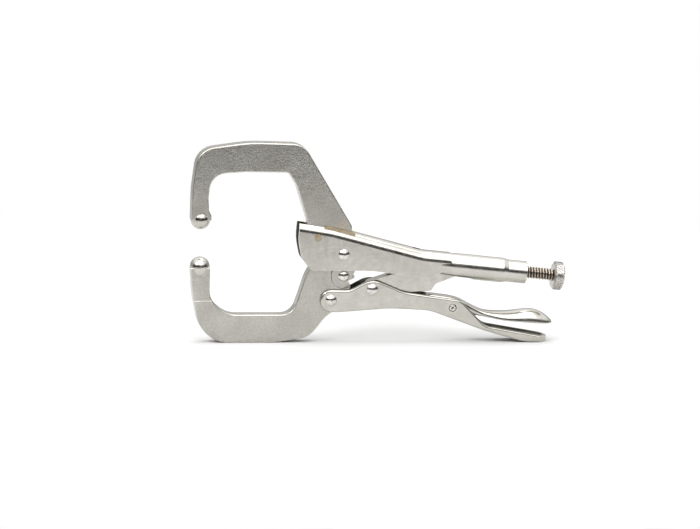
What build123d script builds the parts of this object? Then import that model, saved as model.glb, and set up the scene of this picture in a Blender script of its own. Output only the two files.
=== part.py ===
from build123d import *
import math
import os

# Locking C-clamp pliers. Millimetres, +Z up. The tool stands on edge: X runs along it, with the
# jaws at -X and the adjusting knob at +X, Y is its thickness and Z=0 is the plane it rests on.
# Side views are drawn on Plane.XZ, whose local axes are X and Z.

# ---- driving dimensions ------------------------------------------------------------------------
SHELL_W = 10.0         # upper handle, outer width
SHELL_IN = 6.8         # upper handle, inner width
SHELL_BEND_R = 4.0     # upper handle, bend between its top and its walls
HANDLE_W = 10.0        # lower handle, outer width
HANDLE_IN = 7.0        # lower handle, inner width
HANDLE_T = 1.5         # lower handle, sheet
LINK_T = 5.2           # toggle link, thickness
LINK_BOSS_R = 3.5
LINK_NOSE_R = 2.4
HANDLE_BEND_R = 0.8    # lower handle, rounding of its outer edges
HANDLE_TAIL = 74.2     # x of the tail's end
TAIL_SLOT_L = 110.0    # long round-ended plan that gives the tail its rounded end
WEB_FROM = -10.5       # x where the floor of the lower handle starts, behind the fork
FIXED_JAW_T = SHELL_IN
LOWER_JAW_T = 6.6
EDGE_R = 0.5           # rounding of forged edges
SHEET_EDGE_R = 0.3     # rounding of stamped edges
TIP_R = 4.3            # ball tips

# pivots and other places in the side view, as (x, z)
PLUG_AT = (-27.0, 45.6)
JAW_RIVET_AT = (-15.6, 38.2)
JAW_PIVOT = (-15.2, 28.8)
HANDLE_PIVOT = (-20.6, 18.5)
TOGGLE_PIVOT = (-2.9, 23.1)
LEVER_PIVOT = (32.1, 15.2)
LINK_END = (37.4, 32.25)
UPPER_TIP_AT = (-76.7, 52.6)
LOWER_TIP_AT = (-76.5, 32.3)
HOOK_AT = (-11.3, 28.2)

RIVET_R = 1.5          # shanks of the solid rivets
RIVET_HEAD_R = 2.45
RIVET_HEAD_H = 1.15
RUNNING_FIT = 0.05     # radial clearance round a shank that turns in its hole
PIN_R = 1.7            # hollow pin of the release lever
PIN_BORE_R = 0.5
PLUG_R = 1.6           # braze plugs in the walls of the upper handle
PLUG_RECESS = 0.35

EAR_R = 5.3            # ears of the fixed jaw, round the jaw pivot
EAR_REAR = 3.0         # distance from the jaw pivot to the straight rear edge of the ears
EAR_REAR_LEAN = 33     # lean of that edge, degrees
RECESS_R = 5.6         # recess round the ears
EAR_GAP = 3.5          # slot between the ears
TONGUE_T = 3.2         # tongue of the lower jaw in that slot
HOOK_LOBE_R = 1.15
HOOK_HOLE_R = 0.5

SCREW_AT = (64.5, 29.5)  # a point on the screw's axis, distances along the screw start here
SCREW_TILT = 5.8       # degrees, down towards the knob
TUBE_R = 5.35
TUBE_BORE_R = 3.75
TUBE_FROM = -44.0      # front end of the round tube, inside the channel
TUBE_FLARE = 0.55      # the tube starts this much smaller, flush inside the channel's walls
TUBE_FLARE_L = 14.0
LINK_SLOT_TO = 41.5    # x of the rear end of the slot for the toggle link
LINK_SLOT_L = 16.5
LINK_SLOT_W = 6.4
LINK_SLOT_TOP = 31.5   # z up to which that slot opens the side walls of the bore
JAW_SLOT_TO = -11.9    # x of the rear end of the slot for the fixed jaw
COLLAR_R = 4.85
COLLAR_FROM = -10.9
COLLAR_TAPER = 2.3
COLLAR_TO = -0.2
NECK_FROM = -12.0      # inner end of the threaded neck
THREAD_R = 2.75
THREAD_ROOT_R = 2.15
THREAD_PITCH = 1.25
NECK_BORE_R = 2.85
SCREW_FROM = -22.6
STUB_R = 1.8           # plain end of the screw, inside the knob
STUB_L = 3.0
KNOB_R = 6.1
KNOB_FROM = 11.57
KNOB_W = 4.5
KNURLS = 28
KNURL_LEAN = 32
KNURL_DEPTH = 0.3
KNURL_W = 0.35
THREAD_TURNS = 26

WIRE_R = 0.38          # spring
COIL_R = 1.6
COILS = 15
HOOK_Y = 2.1           # the front hook runs beside the tongue
COIL_FROM = (-7.0, 34.2)
COIL_TO = (7.6, 37.3)
TAB_AT = (14.0, 37.9)  # hole in the tab that holds the spring
TAB_W = 2.4
TAB_T = 1.4
TAB_DROP = 1.3         # tab below its hole
TAB_WINDOW_L = 3.2

# ---- shared shapes -----------------------------------------------------------------------------
tilt = math.radians(SCREW_TILT)
screw_dir = (math.cos(tilt), 0, -math.sin(tilt))
screw_axis = Axis((SCREW_AT[0], 0, SCREW_AT[1]), screw_dir)
# side view of the screw: local x runs along it, towards the knob
screw_side = Plane(origin=(SCREW_AT[0], 0, SCREW_AT[1]), x_dir=screw_dir, z_dir=(0, -1, 0))


def corner_outline(corners):
    """Closed outline through (x, z, rounding) corners."""
    points = [(x, z) for x, z, rounding in corners]
    roundings = [rounding for x, z, rounding in corners]
    return FilletPolyline(*points, radius=roundings, close=True)


def cut_hole(place, radius):
    """Round hole through the piece, across the tool, at (x, z)."""
    with Locations(Location((place[0], 0, place[1]), (90, 0, 0))):
        Hole(radius)


def make_rivet(place, grip):
    """Solid rivet with a domed head on each side, its shank as long as the grip."""
    dome_r = (RIVET_HEAD_R**2 + RIVET_HEAD_H**2) / (2 * RIVET_HEAD_H)
    rim = RIVET_HEAD_R * 0.62
    rim_h = grip / 2 + RIVET_HEAD_H - dome_r + math.sqrt(dome_r**2 - rim**2)
    across = Plane(origin=(place[0], 0, place[1]), x_dir=(1, 0, 0), z_dir=(0, 0, 1))
    with BuildPart() as rivet:
        with BuildSketch(across):
            with BuildLine():
                Line((0, 0), (0, grip / 2 + RIVET_HEAD_H))
                ThreePointArc(
                    (0, grip / 2 + RIVET_HEAD_H), (rim, rim_h), (RIVET_HEAD_R, grip / 2)
                )
                Line((RIVET_HEAD_R, grip / 2), (RIVET_R, grip / 2))
                Line((RIVET_R, grip / 2), (RIVET_R, 0))
                Line((RIVET_R, 0), (0, 0))
            make_face()
        revolve(axis=Axis((place[0], 0, place[1]), (0, 1, 0)))
        mirror(about=Plane.XZ)
    return rivet


def finish_piece(piece, name):
    piece.part.label = name
    export_step(piece.part, f"parts/{name}.step")


os.makedirs("parts", exist_ok=True)

# ---- fixed jaw: forged C arm with a ball tip, a leg inside the upper handle and two ears --------
FIXED_JAW_CORNERS = [
    (-81.0, 52.6, 0), (-80.8, 66.0, 30.0), (-78.9, 82.8, 9.0), (-57.0, 85.9, 60.0),
    (-34.0, 85.3, 9.0), (-12.2, 50.2, 2.5), (-12.6, 44.0, 2.0), (-11.6, 38.5, 2.0),
    (-10.6, 31.0, 0.2), (-13.0, 28.4, 0.5), (-18.5, 29.0, 0.5), (-20.9, 34.0, 1.0),
    (-29.0, 36.4, 2.5), (-30.8, 50.0, 20.0), (-36.4, 67.5, 8.0), (-40.2, 73.2, 2.0),
    (-58.0, 73.4, 30.0), (-73.0, 72.4, 7.5), (-73.9, 62.0, 4.0), (-73.5, 56.8, 1.5),
    (-72.4, 54.6, 0.8), (-72.4, 52.6, 0),
]

with BuildPart() as fixed_jaw:
    with BuildSketch(Plane.XZ):
        with BuildLine():
            corner_outline(FIXED_JAW_CORNERS)
        make_face()
    extrude(amount=FIXED_JAW_T / 2, both=True)
    fillet(fixed_jaw.faces().filter_by(Axis.Y).edges(), EDGE_R)
    lean = math.radians(EAR_REAR_LEAN)
    ear_rear_at = (
        JAW_PIVOT[0] + EAR_REAR * math.cos(lean),
        JAW_PIVOT[1] - EAR_REAR * math.sin(lean),
    )
    with BuildSketch(Plane.XZ):
        with Locations(JAW_PIVOT):
            Circle(EAR_R)
        with Locations(ear_rear_at):
            Rectangle(
                EAR_R, 2 * EAR_R, rotation=-EAR_REAR_LEAN,
                align=(Align.MIN, Align.CENTER), mode=Mode.SUBTRACT,
            )
    extrude(amount=FIXED_JAW_T / 2, both=True)
    with BuildSketch(Plane.XZ):
        with Locations(JAW_PIVOT):
            Circle(RECESS_R)
    extrude(amount=EAR_GAP / 2, both=True, mode=Mode.SUBTRACT)
    cut_hole(JAW_PIVOT, RIVET_R)
    cut_hole(JAW_RIVET_AT, RIVET_R)
    with Locations((UPPER_TIP_AT[0], 0, UPPER_TIP_AT[1])):
        Sphere(TIP_R)
finish_piece(fixed_jaw, "fixed_jaw")

# ---- lower jaw: forged C arm with a ball tip, a tail and a thin tongue round the jaw pivot ------
LOWER_JAW_CORNERS = [
    (-80.7, 32.3, 0.3), (-79.6, 20.0, 40.0), (-76.6, 6.4, 13.0), (-68.6, 0.0, 12.0),
    (-43.5, 0.0, 40.0), (-29.4, 2.2, 10.0), (-22.6, 11.0, 12.0), (-14.6, 16.6, 4.0),
    (-11.9, 24.6, 1.0), (-14.2, 28.6, 0.5), (-20.4, 32.0, 0.5), (-23.4, 34.0, 0.8),
    (-28.6, 34.4, 2.5), (-31.6, 28.6, 20.0), (-36.8, 12.0, 6.5), (-64.6, 12.0, 11.0),
    (-72.4, 18.6, 9.0), (-72.4, 32.3, 0.3),
]

with BuildPart() as lower_jaw:
    with BuildSketch(Plane.XZ):
        with BuildLine():
            corner_outline(LOWER_JAW_CORNERS)
        make_face()
    extrude(amount=LOWER_JAW_T / 2, both=True)
    fillet(lower_jaw.faces().filter_by(Axis.Y).edges(), EDGE_R)
    for side in (1, -1):
        with BuildSketch(Plane.XZ.offset(side * TONGUE_T / 2)):
            with Locations(JAW_PIVOT):
                Circle(RECESS_R)
        extrude(amount=side * LOWER_JAW_T, mode=Mode.SUBTRACT)
    with BuildSketch(Plane.XZ):
        with Locations(JAW_PIVOT):
            Circle(EAR_R)
        with Locations(ear_rear_at):
            Rectangle(
                EAR_R, 2 * EAR_R, rotation=-EAR_REAR_LEAN,
                align=(Align.MIN, Align.CENTER), mode=Mode.SUBTRACT,
            )
    extrude(amount=TONGUE_T / 2, both=True)
    with BuildSketch(Plane.XZ):
        with Locations(JAW_PIVOT):
            Circle(EAR_REAR)
        with Locations(HOOK_AT):
            Circle(HOOK_LOBE_R)
        make_hull()
    extrude(amount=TONGUE_T / 2, both=True)
    cut_hole(JAW_PIVOT, RIVET_R + RUNNING_FIT)
    cut_hole(HANDLE_PIVOT, RIVET_R + RUNNING_FIT)
    cut_hole(HOOK_AT, HOOK_HOLE_R)
    with Locations((LOWER_TIP_AT[0], 0, LOWER_TIP_AT[1])):
        Sphere(TIP_R)
finish_piece(lower_jaw, "lower_jaw")

# ---- upper handle: stamped channel, open below, closing to a tube with a threaded neck ----------
SHELL_CORNERS = [
    (-34.8, 52.2, 0), (-35.3, 44.0, 20.0), (-33.6, 36.4, 6.0), (-29.6, 31.5, 4.0),
    (-4.0, 31.3, 60.0), (22.0, 28.0, 1.0), (31.0, 33.0, 0), (31.0, 38.3, 0),
    (19.0, 39.5, 30.0), (-20.0, 49.8, 40.0),
]
CAVITY_CORNERS = [
    (-36.0, 50.6, 0), (-36.0, 20.0, 0), (34.0, 20.0, 0), (34.0, 36.2, 0),
    (18.6, 37.9, 30.0), (-20.4, 48.2, 40.0),
]

with BuildPart() as upper_handle:
    with BuildSketch(Plane.XZ):
        with BuildLine():
            corner_outline(SHELL_CORNERS)
        make_face()
    extrude(amount=SHELL_W / 2, both=True)
    top_faces = upper_handle.faces().filter_by(lambda face: face.normal_at().Z > 0.9)
    fillet(top_faces.edges().filter_by(lambda edge: abs(edge.center().Y) > 1), SHELL_BEND_R)
    with BuildSketch(screw_side):
        with BuildLine():
            Polyline(
                (TUBE_FROM, 0), (TUBE_FROM, TUBE_R - TUBE_FLARE),
                (TUBE_FROM + TUBE_FLARE_L, TUBE_R), (COLLAR_FROM, TUBE_R),
                (COLLAR_FROM + COLLAR_TAPER, COLLAR_R), (COLLAR_TO - SHEET_EDGE_R, COLLAR_R),
                (COLLAR_TO, COLLAR_R - SHEET_EDGE_R), (COLLAR_TO, 0), close=True,
            )
        make_face()
    revolve(axis=screw_axis)
    # inside of the channel, of the tube and of the neck
    with BuildSketch(Plane.XZ):
        with BuildLine():
            corner_outline(CAVITY_CORNERS)
        make_face()
    extrude(amount=SHELL_IN / 2, both=True, mode=Mode.SUBTRACT)
    with BuildSketch(screw_side):
        with BuildLine():
            Polyline(
                (TUBE_FROM + 6, 0), (TUBE_FROM + 6, TUBE_BORE_R), (NECK_FROM, TUBE_BORE_R),
                (NECK_FROM, NECK_BORE_R), (COLLAR_TO + 1, NECK_BORE_R), (COLLAR_TO + 1, 0),
                close=True,
            )
        make_face()
    revolve(axis=screw_axis, mode=Mode.SUBTRACT)
    # slot under the tube for the toggle link, and slot in the top for the fixed jaw
    with BuildSketch(Plane.XY):
        with Locations((LINK_SLOT_TO - LINK_SLOT_L / 2, 0)):
            SlotOverall(LINK_SLOT_L, LINK_SLOT_W)
    extrude(amount=LINK_SLOT_TOP, mode=Mode.SUBTRACT)
    with BuildSketch(Plane.XY.offset(SCREW_AT[1] + TUBE_R)):
        with Locations((JAW_SLOT_TO, 0)):
            Rectangle(30, SHELL_IN, align=(Align.MAX, Align.CENTER))
    extrude(amount=30, mode=Mode.SUBTRACT)
    # window punched in the top and the spring tab bent down from its front edge
    with BuildSketch(Plane.XY.offset(TAB_AT[1])):
        with Locations((TAB_AT[0] + TAB_T / 2, 0)):
            Rectangle(TAB_WINDOW_L, TAB_W + 0.4, align=(Align.MIN, Align.CENTER))
    extrude(amount=10, mode=Mode.SUBTRACT)
    with BuildSketch(Plane.XY.offset(TAB_AT[1] - TAB_DROP)):
        with Locations((TAB_AT[0], 0)):
            Rectangle(TAB_T, TAB_W)
    extrude(amount=TAB_DROP + 2.2)
    with Locations(Location((TAB_AT[0], 0, TAB_AT[1]), (0, 90, 0))):
        Cylinder(HOOK_HOLE_R, 2 * TAB_T, mode=Mode.SUBTRACT)
    cut_hole(PLUG_AT, PLUG_R)
    cut_hole(JAW_RIVET_AT, RIVET_R)
finish_piece(upper_handle, "upper_handle")

# ---- lower handle: stamped channel, open above, with a forked front end and a dished tail -------
HANDLE_CORNERS = [
    (-25.1, 23.0, 4.4), (-12.5, 22.8, 8.0), (-3.0, 27.9, 9.0), (11.0, 21.9, 20.0),
    (35.8, 18.3, 5.0), (46.5, 7.2, 8.0), (74.2, 2.3, 0), (74.2, 0.0, 0), (64.0, 0.0, 25.0),
    (46.0, 5.2, 60.0), (22.0, 14.0, 20.0), (5.0, 14.9, 60.0), (-18.0, 13.2, 12.0),
    (-25.1, 13.8, 4.4),
]
HANDLE_CAVITY_CORNERS = [
    (WEB_FROM, 16.4, 0), (5.0, 16.5, 40.0), (22.3, 15.6, 20.0), (46.2, 6.8, 60.0),
    (64.0, 1.5, 25.0), (76.0, 1.5, 0), (76.0, 40.0, 0), (WEB_FROM, 40.0, 0),
]

with BuildPart() as handle_cavity:
    with BuildSketch(Plane.XZ):
        with BuildLine():
            corner_outline(HANDLE_CAVITY_CORNERS)
        make_face()
    extrude(amount=HANDLE_IN / 2, both=True)
    with BuildSketch(Plane.XY):
        with Locations((HANDLE_TAIL - HANDLE_T - TAIL_SLOT_L / 2, 0)):
            SlotOverall(TAIL_SLOT_L, HANDLE_IN)
    extrude(amount=60, mode=Mode.INTERSECT)

with BuildPart() as lower_handle:
    with BuildSketch(Plane.XZ):
        with BuildLine():
            corner_outline(HANDLE_CORNERS)
        make_face()
    extrude(amount=HANDLE_W / 2, both=True)
    fillet(lower_handle.faces().filter_by(Axis.Y).edges(), HANDLE_BEND_R)
    with BuildSketch(Plane.XY):
        with Locations((HANDLE_TAIL - TAIL_SLOT_L / 2, 0)):
            SlotOverall(TAIL_SLOT_L, HANDLE_W)
    extrude(amount=60, mode=Mode.INTERSECT)
    add(handle_cavity.part, mode=Mode.SUBTRACT)
    with BuildSketch(Plane.XY):
        with Locations((WEB_FROM + 0.1, 0)):
            Rectangle(30, HANDLE_IN, align=(Align.MAX, Align.CENTER))
    extrude(amount=60, mode=Mode.SUBTRACT)
    cut_hole(HANDLE_PIVOT, RIVET_R)
    cut_hole(TOGGLE_PIVOT, RIVET_R)
    cut_hole(LEVER_PIVOT, PIN_R)
finish_piece(lower_handle, "lower_handle")

# ---- toggle link: forged bar from the lower handle up to the end of the screw -------------------
LINK_CORNERS = [
    (-3.8, 26.5, 0), (5.0, 29.4, 4.0), (36.9, 34.5, 0), (37.9, 30.0, 0), (30.5, 27.3, 3.0),
    (24.8, 25.2, 2.0), (23.0, 22.2, 1.5), (14.0, 21.4, 8.0), (-2.2, 19.7, 0),
]

with BuildPart() as toggle_link:
    with BuildSketch(Plane.XZ):
        with BuildLine():
            corner_outline(LINK_CORNERS)
        make_face()
        with Locations(TOGGLE_PIVOT):
            Circle(LINK_BOSS_R)
        with Locations(LINK_END):
            Circle(LINK_NOSE_R)
    extrude(amount=LINK_T / 2, both=True)
    fillet(toggle_link.faces().filter_by(Axis.Y).edges(), SHEET_EDGE_R)
    cut_hole(TOGGLE_PIVOT, RIVET_R + RUNNING_FIT)
finish_piece(toggle_link, "toggle_link")

# ---- release lever: stamped channel on its pin, its tail shaped as a thumb tab ------------------
LEVER_CORNERS = [
    (20.4, 19.0, 1.0), (22.4, 20.9, 1.5), (34.0, 19.2, 8.0), (46.0, 13.2, 12.0),
    (56.0, 12.9, 25.0), (66.5, 14.6, 10.0), (73.4, 12.2, 6.0), (76.6, 8.4, 0), (75.4, 7.9, 0),
    (56.0, 9.2, 25.0), (44.5, 11.2, 10.0), (36.0, 12.6, 2.0), (31.0, 13.2, 2.0),
    (27.0, 15.0, 2.0), (21.5, 17.4, 1.0),
]
LEVER_CAVITY_CORNERS = [
    (23.4, 19.4, 0.5), (34.2, 17.8, 8.0), (46.0, 11.9, 12.0), (56.0, 11.6, 25.0),
    (66.3, 13.2, 10.0), (72.6, 10.9, 5.0), (74.8, 7.6, 0), (74.8, 2.0, 0), (23.4, 2.0, 0),
]
LEVER_PLAN_CORNERS = [
    (16.0, -3.2, 0), (44.0, -3.2, 12.0), (56.0, -5.4, 12.0), (76.6, -5.4, 5.2),
    (76.6, 5.4, 5.2), (56.0, 5.4, 12.0), (44.0, 3.2, 12.0), (16.0, 3.2, 0),
]
LEVER_PLAN_CAVITY_CORNERS = [
    (16.0, -1.9, 0), (44.3, -1.9, 12.0), (56.3, -4.1, 12.0), (75.3, -4.1, 3.9),
    (75.3, 4.1, 3.9), (56.3, 4.1, 12.0), (44.3, 1.9, 12.0), (16.0, 1.9, 0),
]

with BuildPart() as lever_cavity:
    with BuildSketch(Plane.XZ):
        with BuildLine():
            corner_outline(LEVER_CAVITY_CORNERS)
        make_face()
    extrude(amount=HANDLE_W, both=True)
    with BuildSketch(Plane.XY):
        with BuildLine():
            corner_outline(LEVER_PLAN_CAVITY_CORNERS)
        make_face()
    extrude(amount=40, mode=Mode.INTERSECT)

with BuildPart() as release_lever:
    with BuildSketch(Plane.XZ):
        with BuildLine():
            corner_outline(LEVER_CORNERS)
        make_face()
    extrude(amount=HANDLE_W, both=True)
    with BuildSketch(Plane.XY):
        with BuildLine():
            corner_outline(LEVER_PLAN_CORNERS)
        make_face()
    extrude(amount=40, mode=Mode.INTERSECT)
    add(lever_cavity.part, mode=Mode.SUBTRACT)
    cut_hole(LEVER_PIVOT, PIN_R + RUNNING_FIT)
finish_piece(release_lever, "release_lever")

# ---- adjusting screw: right-hand thread, its plain end inside the knob ---------------------------
with BuildPart() as adjusting_screw:
    with BuildSketch(screw_side):
        with BuildLine():
            Polyline(
                (SCREW_FROM, 0), (SCREW_FROM, THREAD_ROOT_R - 0.5),
                (SCREW_FROM + 0.5, THREAD_ROOT_R), (KNOB_FROM - 0.3, THREAD_ROOT_R),
                (KNOB_FROM - 0.3, STUB_R), (KNOB_FROM + STUB_L, STUB_R),
                (KNOB_FROM + STUB_L, 0), close=True,
            )
        make_face()
    revolve(axis=screw_axis)
    # thread turns as equal rings, one for each pitch
    with BuildSketch(screw_side):
        for turn in range(THREAD_TURNS):
            start = SCREW_FROM + 0.6 + turn * THREAD_PITCH
            with BuildLine():
                Polyline(
                    (start, THREAD_ROOT_R - 0.2), (start, THREAD_ROOT_R),
                    (start + 0.45 * THREAD_PITCH, THREAD_R),
                    (start + 0.55 * THREAD_PITCH, THREAD_R),
                    (start + THREAD_PITCH, THREAD_ROOT_R),
                    (start + THREAD_PITCH, THREAD_ROOT_R - 0.2), close=True,
                )
            make_face()
    revolve(axis=screw_axis)
finish_piece(adjusting_screw, "adjusting_screw")

# ---- screw knob: knurled wheel on the end of the screw -------------------------------------------
with BuildPart() as screw_knob:
    with BuildSketch(screw_side):
        with BuildLine():
            Polyline(
                (KNOB_FROM, STUB_R + RUNNING_FIT), (KNOB_FROM, KNOB_R - 1.0),
                (KNOB_FROM + 0.7, KNOB_R), (KNOB_FROM + KNOB_W - 0.7, KNOB_R),
                (KNOB_FROM + KNOB_W, KNOB_R - 1.0), (KNOB_FROM + KNOB_W, 0),
                (KNOB_FROM + STUB_L + 0.1, 0), (KNOB_FROM + STUB_L + 0.1, STUB_R + RUNNING_FIT),
                close=True,
            )
        make_face()
    revolve(axis=screw_axis)
    # two crossing sets of grooves make the diamond knurl
    knob_middle = Plane(
        origin=screw_side.from_local_coords((KNOB_FROM + KNOB_W / 2, 0, 0)),
        x_dir=(0, 1, 0), z_dir=screw_dir,
    )
    for knurl_lean in (KNURL_LEAN, -KNURL_LEAN):
        with Locations(knob_middle):
            with PolarLocations(KNOB_R, KNURLS):
                Box(
                    2 * KNURL_DEPTH, KNURL_W, 2 * KNOB_W, rotation=(knurl_lean, 0, 0),
                    mode=Mode.SUBTRACT,
                )
finish_piece(screw_knob, "screw_knob")

# ---- rivets, pin and braze -----------------------------------------------------------------------
jaw_rivet = make_rivet(JAW_RIVET_AT, SHELL_W)
finish_piece(jaw_rivet, "jaw_rivet")
jaw_pivot_rivet = make_rivet(JAW_PIVOT, FIXED_JAW_T)
finish_piece(jaw_pivot_rivet, "jaw_pivot_rivet")
handle_pivot_rivet = make_rivet(HANDLE_PIVOT, HANDLE_W)
finish_piece(handle_pivot_rivet, "handle_pivot_rivet")
toggle_rivet = make_rivet(TOGGLE_PIVOT, HANDLE_W)
finish_piece(toggle_rivet, "toggle_rivet")

with BuildPart() as release_pin:
    with Locations(Location((LEVER_PIVOT[0], 0, LEVER_PIVOT[1]), (90, 0, 0))):
        Cylinder(PIN_R, HANDLE_W + 0.3)
        Hole(PIN_BORE_R)
finish_piece(release_pin, "release_pin")

for plug_name, side in (("front_braze_plug", -1), ("rear_braze_plug", 1)):
    with BuildPart() as braze_plug:
        with BuildSketch(Plane.XZ.offset(-side * SHELL_IN / 2)):
            with Locations(PLUG_AT):
                Circle(PLUG_R)
        extrude(amount=-side * ((SHELL_W - SHELL_IN) / 2 - PLUG_RECESS))
    finish_piece(braze_plug, plug_name)

# braze run into the corner between the fixed jaw and the top of the upper handle
BRAZE_CORNERS = [
    (-24.0, 49.0, 0), (-24.0, 50.5, 0), (-12.4, 47.9, 0), (-10.9, 47.4, 0), (-10.9, 45.8, 0),
]
with BuildPart() as braze_seam:
    with BuildSketch(Plane.XZ):
        with BuildLine():
            corner_outline(BRAZE_CORNERS)
        make_face()
    extrude(amount=SHELL_IN / 2 + 0.7, both=True)
    add(upper_handle.part, mode=Mode.SUBTRACT)
    with BuildSketch(Plane.XZ):
        with BuildLine():
            corner_outline(FIXED_JAW_CORNERS)
        make_face()
    extrude(amount=FIXED_JAW_T / 2, both=True, mode=Mode.SUBTRACT)
finish_piece(braze_seam, "braze_seam")

# ---- tension spring: coil with a hook at each end, between the tongue and the tab ----------------
coil_run = (COIL_TO[0] - COIL_FROM[0], 0, COIL_TO[1] - COIL_FROM[1])
coil_length = math.hypot(coil_run[0], coil_run[2])

with BuildPart() as tension_spring:
    with BuildLine():
        coil = Helix(
            coil_length / COILS, coil_length, COIL_R,
            center=(COIL_FROM[0], 0, COIL_FROM[1]), direction=coil_run,
        )
    with BuildSketch(Plane(origin=coil @ 0, z_dir=coil % 0)):
        Circle(WIRE_R)
    sweep(path=coil, is_frenet=True)
    with BuildLine() as front_hook:
        Polyline(
            coil @ 0, (-9.0, HOOK_Y, 32.6), (HOOK_AT[0], HOOK_Y, HOOK_AT[1]),
            (HOOK_AT[0], -HOOK_Y, HOOK_AT[1]),
        )
    with BuildSketch(Plane(origin=coil @ 0, z_dir=front_hook.line % 0)):
        Circle(WIRE_R)
    sweep(path=front_hook.line, transition=Transition.ROUND)
    with BuildLine() as rear_hook:
        Polyline(
            coil @ 1, (TAB_AT[0] - 2.5, 0, TAB_AT[1]), (TAB_AT[0] + 1.6, 0, TAB_AT[1]),
            (TAB_AT[0] + 1.6, 0, TAB_AT[1] - 1.4),
        )
    with BuildSketch(Plane(origin=coil @ 1, z_dir=rear_hook.line % 0)):
        Circle(WIRE_R)
    sweep(path=rear_hook.line, transition=Transition.ROUND)
finish_piece(tension_spring, "tension_spring")
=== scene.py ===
import math

import bpy
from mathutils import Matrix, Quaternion, Vector


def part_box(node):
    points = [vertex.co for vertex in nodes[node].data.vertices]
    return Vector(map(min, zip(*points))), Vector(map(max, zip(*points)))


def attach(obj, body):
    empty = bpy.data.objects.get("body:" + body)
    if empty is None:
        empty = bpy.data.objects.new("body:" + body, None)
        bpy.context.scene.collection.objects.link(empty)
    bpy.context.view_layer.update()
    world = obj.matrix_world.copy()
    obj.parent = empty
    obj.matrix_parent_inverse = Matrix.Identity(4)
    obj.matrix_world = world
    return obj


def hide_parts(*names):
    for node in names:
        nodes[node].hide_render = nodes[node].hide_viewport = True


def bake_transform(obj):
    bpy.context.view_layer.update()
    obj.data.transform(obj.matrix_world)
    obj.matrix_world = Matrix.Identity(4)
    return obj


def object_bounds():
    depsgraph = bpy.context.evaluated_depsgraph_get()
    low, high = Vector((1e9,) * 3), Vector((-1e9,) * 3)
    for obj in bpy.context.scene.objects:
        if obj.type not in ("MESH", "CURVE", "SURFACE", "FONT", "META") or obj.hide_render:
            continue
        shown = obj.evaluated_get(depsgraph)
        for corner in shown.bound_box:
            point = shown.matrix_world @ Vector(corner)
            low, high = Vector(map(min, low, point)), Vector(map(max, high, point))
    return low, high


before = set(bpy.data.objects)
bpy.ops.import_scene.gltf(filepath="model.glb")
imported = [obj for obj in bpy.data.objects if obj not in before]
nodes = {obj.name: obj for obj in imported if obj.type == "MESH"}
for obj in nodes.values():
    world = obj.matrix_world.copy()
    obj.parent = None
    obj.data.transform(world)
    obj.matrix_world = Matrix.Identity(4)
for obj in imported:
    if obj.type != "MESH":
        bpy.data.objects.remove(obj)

# Looks of the locking C-clamp pliers: nickel plate on forged and stamped steel, brass braze, a
# helical thread and a pressed thumb lever. Metres, in the row frame: X along the tool, Z up.
MM = 0.001
cad_low, cad_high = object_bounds()

# adjusting screw: it points back along the tube, tilted down
THREAD_PITCH, THREAD_R, THREAD_ROOT_R = 1.25 * MM, 2.72 * MM, 2.10 * MM
SCREW_TILT = math.radians(5.8)
screw_along = Vector((math.cos(SCREW_TILT), 0, -math.sin(SCREW_TILT)))
SCREW_NOSE_R, SCREW_SHANK_R, SCREW_SHANK_L = 1.6 * MM, 1.78 * MM, 3.3 * MM
SCREW_END_SLANT = 0.45 * MM  # what its two tilted ends add to the length of its box

# release pin: radius, bore, half length, and the rolled rim at each end
PIN_R, PIN_BORE_R, PIN_HALF = 1.7 * MM, 0.5 * MM, 5.15 * MM
RIM_L, RIM_STEP, RIM_TAPER, RIM_ROUND = 0.95 * MM, 0.30 * MM, 0.34 * MM, 0.50 * MM
RIM_EDGE, COUNTERSINK = 0.12 * MM, 0.14 * MM

# ball tips, and the line scored across the front of the lower arm: its height and its rear end
BALL_R = 4.3 * MM
UPPER_TIP_Z = 52.6 * MM
FORGING_LINE_Z = 18.2 * MM
FORGING_LINE_END_X = -69 * MM

# colours
NICKEL = (0.565, 0.55, 0.505)
NICKEL_DULL = (0.50, 0.485, 0.44)
NICKEL_BRIGHT = (0.74, 0.725, 0.69)
SPECK = (0.27, 0.26, 0.235)
BRAZE_STAIN = (0.66, 0.46, 0.25)
# near-black colour painted into the thread roots as shade
THREAD_ROOT_SHADE = (0.07, 0.055, 0.045)
THREAD_RUST, THREAD_PLATE = (0.44, 0.38, 0.31), (0.62, 0.57, 0.50)
KNURL_PLATE = (0.50, 0.48, 0.45)
WIRE_DARK, WIRE_LIGHT = (0.30, 0.29, 0.28), (0.42, 0.41, 0.39)
BRASS, BRASS_PLATED = (0.50, 0.35, 0.18), (0.54, 0.50, 0.42)
PAPER_DARK, PAPER_LIGHT = (0.60, 0.60, 0.60), (0.62, 0.62, 0.62)


# ---- small helpers ------------------------------------------------------------------------------
def middle(node):
    """Centre of a CAD node's box."""
    low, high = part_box(node)
    return (low + high) / 2


def mesh_object(name, vertices, faces, smooth=True):
    """New mesh object from plain lists."""
    mesh = bpy.data.meshes.new(name)
    mesh.from_pydata(vertices, [], faces)
    mesh.validate()
    for polygon in mesh.polygons:
        polygon.use_smooth = smooth
    piece = bpy.data.objects.new(name, mesh)
    bpy.context.scene.collection.objects.link(piece)
    return piece


def grid_faces(rows, columns, closed):
    """Quads of a grid of vertices stored row by row; closed joins its last column to its first."""
    faces = []
    for row in range(rows - 1):
        for column in range(columns if closed else columns - 1):
            after = (column + 1) % columns
            faces.append((
                row * columns + column, row * columns + after,
                (row + 1) * columns + after, (row + 1) * columns + column,
            ))
    return faces


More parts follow.
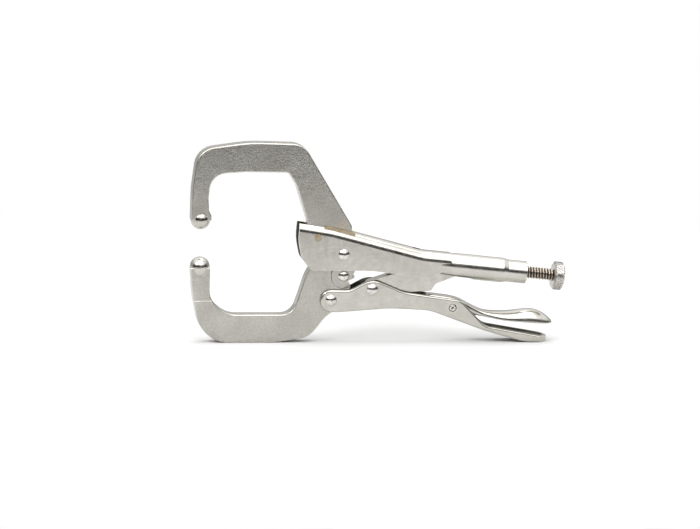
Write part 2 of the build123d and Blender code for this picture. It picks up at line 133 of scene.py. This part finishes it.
# ---- materials ----------------------------------------------------------------------------------
class Shader:
    """A material's node tree with short calls for the nodes used here."""

    def __init__(self, name):
        self.material = bpy.data.materials.new(name)
        self.material.use_nodes = True
        self.tree = self.material.node_tree
        self.surface = self.tree.nodes["Principled BSDF"]
        place = self.add("ShaderNodeTexCoord")
        self.place = place.outputs["Object"]

    def add(self, kind, **values):
        """New node of a kind, with its settings."""
        node = self.tree.nodes.new(kind)
        for key, value in values.items():
            setattr(node, key, value)
        return node

    def link(self, source, target):
        self.tree.links.new(source, target)

    def noise(self, size, detail=3.0, stretch=(1, 1, 1), roughness=0.55):
        """Noise whose features are about size metres across."""
        mapping = self.add("ShaderNodeMapping")
        mapping.inputs["Scale"].default_value = [axis / size for axis in stretch]
        self.link(self.place, mapping.inputs["Vector"])
        texture = self.add("ShaderNodeTexNoise")
        texture.inputs["Scale"].default_value = 1.0
        texture.inputs["Detail"].default_value = detail
        texture.inputs["Roughness"].default_value = roughness
        self.link(mapping.outputs["Vector"], texture.inputs["Vector"])
        return texture.outputs["Fac"]

    def spread(self, value, low, high, to_low, to_high):
        """Value mapped from low..high to to_low..to_high, and held within it."""
        node = self.add("ShaderNodeMapRange")
        node.inputs["From Min"].default_value = low
        node.inputs["From Max"].default_value = high
        node.inputs["To Min"].default_value = to_low
        node.inputs["To Max"].default_value = to_high
        self.link(value, node.inputs["Value"])
        return node.outputs["Result"]

    def maths(self, operation, first, second=0.0):
        """One sum on two numbers or sockets."""
        node = self.add("ShaderNodeMath", operation=operation)
        for socket, value in zip(node.inputs, (first, second)):
            if isinstance(value, (int, float)):
                socket.default_value = value
            else:
                self.link(value, socket)
        return node.outputs["Value"]

    def near(self, point, inner, outer):
        """1 within inner metres of a point, falling to 0 at outer."""
        distance = self.add("ShaderNodeVectorMath", operation="DISTANCE")
        distance.inputs[1].default_value = point
        self.link(self.place, distance.inputs[0])
        return self.spread(distance.outputs["Value"], inner, outer, 1.0, 0.0)

    def colours(self, factor, first, second):
        """Mix of two colours, or of a colour and a socket, by a factor."""
        node = self.add("ShaderNodeMix", data_type="RGBA")
        for socket, value in ((node.inputs[6], first), (node.inputs[7], second)):
            if isinstance(value, tuple):
                socket.default_value = (*value, 1.0)
            else:
                self.link(value, socket)
        self.link(factor, node.inputs[0])
        return node.outputs[2]

    def edge_wear_and_highlight(self, radius):
        """About 1 along sharp outer and inner edges, 0 on the flats: the mask for rubbed wear and
        painted edge highlights.
        """
        bevel = self.add("ShaderNodeBevel", samples=4)
        bevel.inputs["Radius"].default_value = radius
        geometry = self.add("ShaderNodeNewGeometry")
        dot = self.add("ShaderNodeVectorMath", operation="DOT_PRODUCT")
        self.link(bevel.outputs["Normal"], dot.inputs[0])
        self.link(geometry.outputs["Normal"], dot.inputs[1])
        return self.spread(dot.outputs["Value"], 0.8, 0.99, 1.0, 0.0)

    def bump(self, height, depth, before=None):
        """Bump of a height field, depth in metres, after an earlier bump."""
        node = self.add("ShaderNodeBump")
        node.inputs["Strength"].default_value = 1.0
        node.inputs["Distance"].default_value = depth
        self.link(height, node.inputs["Height"])
        if before is not None:
            self.link(before, node.inputs["Normal"])
        return node.outputs["Normal"]

    def finish(self, colour, roughness, normal=None, metallic=1.0):
        """Links the results to the surface and gives the finished material."""
        self.surface.inputs["Metallic"].default_value = metallic
        for name, value in (("Base Color", colour), ("Roughness", roughness), ("Normal", normal)):
            if value is not None:
                self.link(value, self.surface.inputs[name])
        return self.material


def plate_colour(shader, edge, speckle):
    """Nickel with soft cloudy patches and fine speckle, brighter along edges: partly rubbed wear,
    partly painted highlight.
    """
    clouds = shader.spread(shader.noise(9 * MM, 4.0), 0.35, 0.65, 0.0, 1.0)
    colour = shader.colours(clouds, NICKEL_DULL, NICKEL)
    specks = shader.spread(shader.noise(0.7 * MM, 5.0, roughness=0.7), 0.38, 0.52, speckle, 0.0)
    colour = shader.colours(specks, colour, SPECK)
    # edges: brighter nickel, partly rubbed wear and partly painted highlight
    return shader.colours(edge, colour, NICKEL_BRIGHT)


def forged_plate(braze_at):
    """Nickel over a forged, tumbled surface: braze stain, smooth balls and a scored line."""
    shader = Shader("forged_plate")
    edge = shader.edge_wear_and_highlight(0.5 * MM)
    stain = shader.maths(
        "MULTIPLY", shader.near(braze_at, 3 * MM, 8 * MM),
        shader.spread(shader.noise(2.2 * MM), 0.45, 0.65, 0.0, 0.5),
    )
    colour = shader.colours(stain, plate_colour(shader, edge, 0.34), BRAZE_STAIN)
    ball = shader.maths("MAXIMUM", *(
        shader.near(tip, BALL_R + 0.05 * MM, BALL_R + 0.3 * MM) for tip in tip_centres()
    ))
    rough = shader.spread(shader.noise(1.6 * MM, 5.0), 0.3, 0.7, 0.27, 0.40)
    rough = shader.maths("SUBTRACT", rough, shader.maths("MULTIPLY", ball, 0.17))
    grain = shader.bump(shader.noise(0.6 * MM, 4.0, roughness=0.65), 0.075 * MM)
    hollows = shader.bump(shader.noise(5 * MM, 2.0), 0.06 * MM, grain)
    point = shader.add("ShaderNodeSeparateXYZ")
    shader.link(shader.place, point.inputs[0])
    offset = shader.maths("ABSOLUTE", shader.maths("SUBTRACT", point.outputs["Z"], FORGING_LINE_Z))
    front = shader.spread(
        point.outputs["X"], FORGING_LINE_END_X - 1 * MM, FORGING_LINE_END_X, 1.0, 0.0
    )
    line = shader.maths("MULTIPLY", front, shader.spread(offset, 0.08 * MM, 0.26 * MM, 1.0, 0.0))
    scored = shader.bump(line, -0.12 * MM, hollows)
    return shader.finish(colour, rough, scored)


def stamped_plate():
    """Nickel over stamped sheet: smoother, with faint drawing lines along the tool."""
    shader = Shader("stamped_plate")
    edge = shader.edge_wear_and_highlight(0.4 * MM)
    rough = shader.spread(shader.noise(2.5 * MM, 5.0), 0.3, 0.7, 0.17, 0.27)
    grain = shader.bump(shader.noise(0.45 * MM, 4.0), 0.009 * MM)
    drawn = shader.bump(shader.noise(1.1 * MM, 3.0, stretch=(0.12, 1, 1)), 0.012 * MM, grain)
    return shader.finish(plate_colour(shader, edge, 0.22), rough, drawn)


def rivet_steel():
    """Bright rivets with small dents from the rivet set."""
    shader = Shader("rivet_steel")
    colour = shader.colours(
        shader.spread(shader.noise(1.2 * MM), 0.4, 0.6, 0.0, 1.0), NICKEL, NICKEL_BRIGHT
    )
    rough = shader.spread(shader.noise(0.6 * MM), 0.3, 0.7, 0.14, 0.26)
    return shader.finish(colour, rough, shader.bump(shader.noise(0.9 * MM), 0.03 * MM))


def screw_steel():
    """Plated screw, a little rusty in patches, with painted shade darkening the thread roots."""
    shader = Shader("screw_steel")
    patches = shader.spread(shader.noise(1.4 * MM, 4.0), 0.42, 0.6, 0.0, 1.0)
    crest = shader.colours(patches, THREAD_RUST, THREAD_PLATE)
    from_axis = shader.add("ShaderNodeVectorMath", operation="SUBTRACT")
    from_axis.inputs[1].default_value = middle("adjusting_screw")
    shader.link(shader.place, from_axis.inputs[0])
    across = shader.add("ShaderNodeVectorMath", operation="CROSS_PRODUCT")
    across.inputs[1].default_value = screw_along
    shader.link(from_axis.outputs["Vector"], across.inputs[0])
    reach = shader.add("ShaderNodeVectorMath", operation="LENGTH")
    shader.link(across.outputs["Vector"], reach.inputs[0])
    # painted shade: the colour darkens towards the thread roots, by distance from the screw's axis
    height = shader.spread(
        reach.outputs["Value"], THREAD_ROOT_R + 0.08 * MM, THREAD_R - 0.15 * MM, 0.0, 1.0
    )
    colour = shader.colours(height, THREAD_ROOT_SHADE, crest)
    rough = shader.spread(shader.noise(0.7 * MM), 0.3, 0.7, 0.22, 0.42)
    return shader.finish(colour, rough, shader.bump(shader.noise(0.3 * MM), 0.02 * MM))


def knob_steel():
    """Knurled nickel plate, brighter along its edges and the points of the knurl: partly rubbed
    wear, partly painted highlight.
    """
    shader = Shader("knob_steel")
    edge = shader.edge_wear_and_highlight(0.2 * MM)
    # edges and knurl points: brighter nickel, partly rubbed wear and partly painted highlight
    colour = shader.colours(edge, KNURL_PLATE, NICKEL_BRIGHT)
    rough = shader.spread(shader.noise(0.8 * MM), 0.3, 0.7, 0.22, 0.36)
    return shader.finish(colour, rough, shader.bump(shader.noise(0.3 * MM), 0.015 * MM))


def spring_steel():
    """Drawn wire, greyer than the plate."""
    shader = Shader("spring_steel")
    colour = shader.colours(shader.noise(1.0 * MM), WIRE_DARK, WIRE_LIGHT)
    rough = shader.spread(shader.noise(0.4 * MM), 0.3, 0.7, 0.28, 0.42)
    return shader.finish(colour, rough, shader.bump(shader.noise(0.2 * MM), 0.01 * MM))


def braze_brass():
    """Dull brass run from a torch, mottled with plate."""
    shader = Shader("braze_brass")
    patches = shader.spread(shader.noise(1.3 * MM, 4.0), 0.38, 0.66, 0.0, 1.0)
    colour = shader.colours(patches, BRASS, BRASS_PLATED)
    rough = shader.spread(shader.noise(0.8 * MM), 0.3, 0.7, 0.30, 0.48)
    return shader.finish(colour, rough, shader.bump(shader.noise(0.8 * MM), 0.12 * MM))


def tip_centres():
    """Centres of the two ball tips, from the ends of the two jaws."""
    fixed_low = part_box("fixed_jaw")[0]
    lower_low, lower_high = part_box("lower_jaw")
    return (
        (fixed_low.x + BALL_R, 0, UPPER_TIP_Z),
        (lower_low.x + BALL_R, 0, lower_high.z - BALL_R),
    )


def paint():
    """Gives every CAD node its material, and returns the materials by node name."""
    forged = forged_plate(middle("braze_seam"))
    stamped = stamped_plate()
    rivets = rivet_steel()
    braze = braze_brass()
    finishes = {
        "fixed_jaw": forged, "lower_jaw": forged, "upper_handle": stamped,
        "lower_handle": stamped, "toggle_link": stamped, "release_lever": stamped,
        "adjusting_screw": screw_steel(), "screw_knob": knob_steel(),
        "tension_spring": spring_steel(), "jaw_rivet": rivets, "jaw_pivot_rivet": rivets,
        "handle_pivot_rivet": rivets, "toggle_rivet": rivets, "release_pin": rivets,
        "front_braze_plug": braze, "rear_braze_plug": braze, "braze_seam": braze,
    }
    for name, material in finishes.items():
        for slot in nodes[name].material_slots:
            slot.material = material
    return finishes


finishes = paint()


# ---- detail pieces ------------------------------------------------------------------------------
def lathe(name, profile, centre, axis, sides, radius_at=None):
    """Surface of revolution through (along, radius) points about an axis through centre."""
    along = Vector(axis).normalized()
    across = along.orthogonal().normalized()
    third = along.cross(across)
    vertices = []
    for distance, radius in profile:
        for side in range(sides):
            turn = 2 * math.pi * side / sides
            reach = radius if radius_at is None else radius_at(distance, turn, radius)
            offset = across * (reach * math.cos(turn)) + third * (reach * math.sin(turn))
            vertices.append(tuple(Vector(centre) + along * distance + offset))
    return mesh_object(name, vertices, grid_faces(len(profile), sides, closed=True))


def make_pin():
    """Hollow pin with rolled rims and a countersunk bore at each end."""
    half = [
        (0.0, PIN_R), (PIN_HALF - RIM_L, PIN_R), (PIN_HALF - RIM_L, PIN_R - RIM_STEP),
        (PIN_HALF - RIM_EDGE, PIN_R - RIM_TAPER), (PIN_HALF, PIN_R - RIM_ROUND),
        (PIN_HALF, PIN_BORE_R + COUNTERSINK), (PIN_HALF - COUNTERSINK, PIN_BORE_R),
        (0.0, PIN_BORE_R),
    ]
    mirrored = [(-distance, radius) for distance, radius in reversed(half)]
    profile = half + mirrored[1:]
    pin = lathe("release_pin_rolled", profile, middle("release_pin"), (0, -1, 0), 40)
    pin.data.materials.append(finishes["release_pin"])
    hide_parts("release_pin")
    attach(pin, "grip")


def thread_radius(distance, turn, radius):
    """Radius of a right-hand thread at a distance along the axis and an angle round it."""
    if radius < THREAD_ROOT_R:
        return radius
    phase = (distance / THREAD_PITCH - turn / (2 * math.pi)) % 1.0
    flank = max(0.0, 1.0 - abs(phase - 0.5) / 0.38)
    return THREAD_ROOT_R + (THREAD_R - THREAD_ROOT_R) * min(1.0, 1.2 * flank)


def make_screw():
    """Adjusting screw with a helical thread, plain at the knob's end."""
    low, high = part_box("adjusting_screw")
    length = (high.x - low.x) / math.cos(SCREW_TILT) - SCREW_END_SLANT
    start = middle("adjusting_screw") - screw_along * (length / 2)
    plain_from = length - SCREW_SHANK_L
    profile = [(0.0, 0.0), (0.0, SCREW_NOSE_R)]
    step = THREAD_PITCH / 10
    for i in range(int(plain_from / step) + 1):
        profile.append((i * step + 0.1 * MM, THREAD_ROOT_R))
    profile += [(plain_from, SCREW_SHANK_R), (length, SCREW_SHANK_R), (length, 0.0)]
    screw = lathe("adjusting_screw_threaded", profile, start, screw_along, 48, thread_radius)
    screw.data.materials.append(finishes["adjusting_screw"])
    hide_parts("adjusting_screw")
    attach(screw, "screw")


# the lever's sections from its front end to its thumb tab, in millimetres: x, top z, bottom z and
# half width, then how square the section is: 2 is an ellipse, and more is squarer
LEVER_STATIONS = [
    (20.9, 19.3, 17.9, 2.9, 6.0), (21.6, 20.2, 17.5, 3.1, 6.0), (23.0, 20.7, 16.9, 3.2, 6.0),
    (28.0, 20.1, 14.9, 3.2, 6.0), (31.5, 19.6, 13.3, 3.2, 6.0), (36.0, 18.3, 12.7, 3.2, 6.0),
    (40.0, 16.2, 12.0, 3.2, 5.0), (43.5, 14.5, 11.5, 3.25, 4.0), (47.0, 13.3, 10.9, 3.7, 3.2),
    (51.0, 12.95, 10.1, 4.5, 2.6), (55.0, 12.95, 9.5, 5.15, 2.3), (59.0, 13.2, 9.1, 5.35, 2.2),
    (63.0, 13.7, 8.8, 5.38, 2.1), (66.5, 13.9, 8.5, 5.38, 2.1), (69.5, 13.4, 8.3, 5.3, 2.1),
    (72.0, 12.3, 8.15, 5.0, 2.1), (74.0, 11.0, 8.05, 4.3, 2.1), (75.4, 9.8, 8.0, 3.2, 2.2),
    (76.2, 8.9, 7.97, 2.0, 2.4), (76.5, 8.4, 7.96, 1.0, 2.6),
]
LEVER_SHEET = 1.15 * MM


def station_at(place):
    """A section on a smooth curve through the stations, place counted in stations."""
    index = min(int(place), len(LEVER_STATIONS) - 2)
    part = place - index
    before = LEVER_STATIONS[max(index - 1, 0)]
    first, second = LEVER_STATIONS[index], LEVER_STATIONS[index + 1]
    after = LEVER_STATIONS[min(index + 2, len(LEVER_STATIONS) - 1)]
    return [
        0.5 * (2 * b + (c - a) * part + (2 * a - 5 * b + 4 * c - d) * part**2
               + (3 * b - a - 3 * c + d) * part**3)
        for a, b, c, d in zip(before, first, second, after)
    ]


def cut_round(piece, place, radius):
    """Cuts a round hole across the tool through a piece and keeps the result as its mesh."""
    bpy.ops.mesh.primitive_cylinder_add(
        vertices=40, radius=radius, depth=0.03, location=(place.x, 0, place.z),
        rotation=(math.pi / 2, 0, 0),
    )
    cutter = bpy.context.active_object
    cut = piece.modifiers.new("hole", "BOOLEAN")
    cut.operation = "DIFFERENCE"
    cut.solver = "EXACT"
    cut.object = cutter
    bpy.context.view_layer.update()
    evaluated = piece.evaluated_get(bpy.context.evaluated_depsgraph_get())
    piece.data = bpy.data.meshes.new_from_object(evaluated)
    piece.modifiers.clear()
    bpy.data.objects.remove(cutter)


def make_lever():
    """Release lever: a pressed channel that opens out into a crowned thumb tab."""
    rows_per_station, columns = 4, 41
    vertices = []
    rows = (len(LEVER_STATIONS) - 1) * rows_per_station + 1
    for row in range(rows):
        x, top, bottom, half, square = station_at(row / rows_per_station)
        for column in range(columns):
            turn = math.pi * (column / (columns - 1) - 0.5)
            power = 2 / square
            y = half * math.copysign(abs(math.sin(turn)) ** power, turn)
            z = bottom + (top - bottom) * abs(math.cos(turn)) ** power
            vertices.append((x * MM, y * MM, z * MM))
    lever = mesh_object("release_lever_pressed", vertices, grid_faces(rows, columns, closed=False))
    sheet = lever.modifiers.new("sheet", "SOLIDIFY")
    sheet.thickness = LEVER_SHEET
    sheet.offset = 1.0
    cut_round(lever, middle("release_pin"), PIN_R + 0.05 * MM)
    for polygon in lever.data.polygons:
        polygon.use_smooth = True
    lever.data.materials.clear()
    lever.data.materials.append(finishes["release_lever"])
    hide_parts("release_lever")
    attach(lever, "lever")


def make_spring():
    """Tension spring: a copy of the CAD node's mesh with the wire finish, in place of the hidden
    node.
    """
    spring = bpy.data.objects.new("tension_spring_wire", nodes["tension_spring"].data.copy())
    bpy.context.scene.collection.objects.link(spring)
    for slot in spring.material_slots:
        slot.material = finishes["tension_spring"]
    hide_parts("tension_spring")
    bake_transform(spring)


make_pin()
make_screw()
make_lever()
make_spring()


# ---- studio: pale floor, soft light all round with a darker band in front ------------------------
FLOOR_R = 0.32


def make_floor():
    """Round matt floor under the tool."""
    sides = 96
    rim = [
        (FLOOR_R * math.cos(2 * math.pi * i / sides), FLOOR_R * math.sin(2 * math.pi * i / sides), 0)
        for i in range(sides)
    ]
    floor = mesh_object("floor", rim, [tuple(range(sides))], smooth=False)
    floor.location.z = cad_low.z - 0.05 * MM
    shader = Shader("floor_paper")
    tone = shader.colours(shader.noise(0.2), PAPER_DARK, PAPER_LIGHT)
    shader.surface.inputs["Roughness"].default_value = 0.9
    shader.surface.inputs["Specular IOR Level"].default_value = 0.1
    floor.data.materials.append(shader.finish(tone, None, metallic=0.0))


def make_world():
    """White surroundings, brighter above, with a darker band near the horizon in front."""
    world = bpy.data.worlds.new("studio")
    bpy.context.scene.world = world
    world.use_nodes = True
    tree = world.node_tree
    tree.nodes.clear()

    def add(kind, **values):
        node = tree.nodes.new(kind)
        for key, value in values.items():
            setattr(node, key, value)
        return node

    def ramp(source, low, high, to_low, to_high):
        node = add("ShaderNodeMapRange", interpolation_type="SMOOTHSTEP")
        for key, value in (
            ("From Min", low), ("From Max", high), ("To Min", to_low), ("To Max", to_high),
        ):
            if isinstance(value, (int, float)):
                node.inputs[key].default_value = value
            else:
                tree.links.new(value, node.inputs[key])
        tree.links.new(source, node.inputs["Value"])
        return node.outputs["Result"]

    direction = add("ShaderNodeSeparateXYZ")
    tree.links.new(add("ShaderNodeTexCoord").outputs["Generated"], direction.inputs["Vector"])
    horizon = ramp(direction.outputs["Y"], -0.3, 0.4, 0.05, 0.7)
    glow = ramp(direction.outputs["Z"], 0.30, 0.62, horizon, 1.7)
    lit = add("ShaderNodeBackground")
    tree.links.new(glow, lit.inputs["Strength"])
    seen = add("ShaderNodeBackground")
    seen.inputs["Strength"].default_value = 1.0
    seen.inputs["Color"].default_value = (1, 1, 1, 1)
    choose = add("ShaderNodeMixShader")
    tree.links.new(add("ShaderNodeLightPath").outputs["Is Camera Ray"], choose.inputs["Fac"])
    tree.links.new(lit.outputs["Background"], choose.inputs[1])
    tree.links.new(seen.outputs["Background"], choose.inputs[2])
    tree.links.new(choose.outputs["Shader"], add("ShaderNodeOutputWorld").inputs["Surface"])


def make_light(name, place, target, size, power):
    """Square soft light aimed at a point."""
    data = bpy.data.lights.new(name, "AREA")
    data.size = size
    data.energy = power
    lamp = bpy.data.objects.new(name, data)
    bpy.context.scene.collection.objects.link(lamp)
    lamp.location = place
    aim = Vector(target) - Vector(place)
    lamp.rotation_mode = "QUATERNION"
    lamp.rotation_quaternion = aim.to_track_quat("-Z", "Y")


def make_camera():
    """Long lens from the front left, a little above, rolled slightly."""
    azimuth, elevation, roll = math.radians(-10), math.radians(11), math.radians(1.86)
    aim = Vector((-12.1, 0, 33.1)) * MM
    view_width, distance, sensor = 0.2975, 1.8, 36.0
    back = Vector((
        math.sin(azimuth) * math.cos(elevation), -math.cos(azimuth) * math.cos(elevation),
        math.sin(elevation),
    ))
    data = bpy.data.cameras.new("camera")
    data.sensor_width = sensor
    data.lens = sensor * distance / view_width
    data.clip_start, data.clip_end = 0.05, 20
    camera = bpy.data.objects.new("camera", data)
    bpy.context.scene.collection.objects.link(camera)
    camera.location = aim + back * distance
    camera.rotation_mode = "QUATERNION"
    camera.rotation_quaternion = (
        (-back).to_track_quat("-Z", "Y") @ Quaternion((0, 0, 1), roll)
    )
    bpy.context.scene.camera = camera


make_floor()
make_world()
make_light("key", (-0.7, -0.5, 0.8), (0, 0, 0.04), 0.35, 4.6)
make_light("front", (0.1, -0.75, 0.85), (0, 0, 0.04), 0.8, 4.2)
make_light("top", (0.1, 0.1, 1.1), (0, 0, 0.04), 0.7, 6.0)
make_camera()
bpy.context.scene.view_settings.view_transform = "Standard"
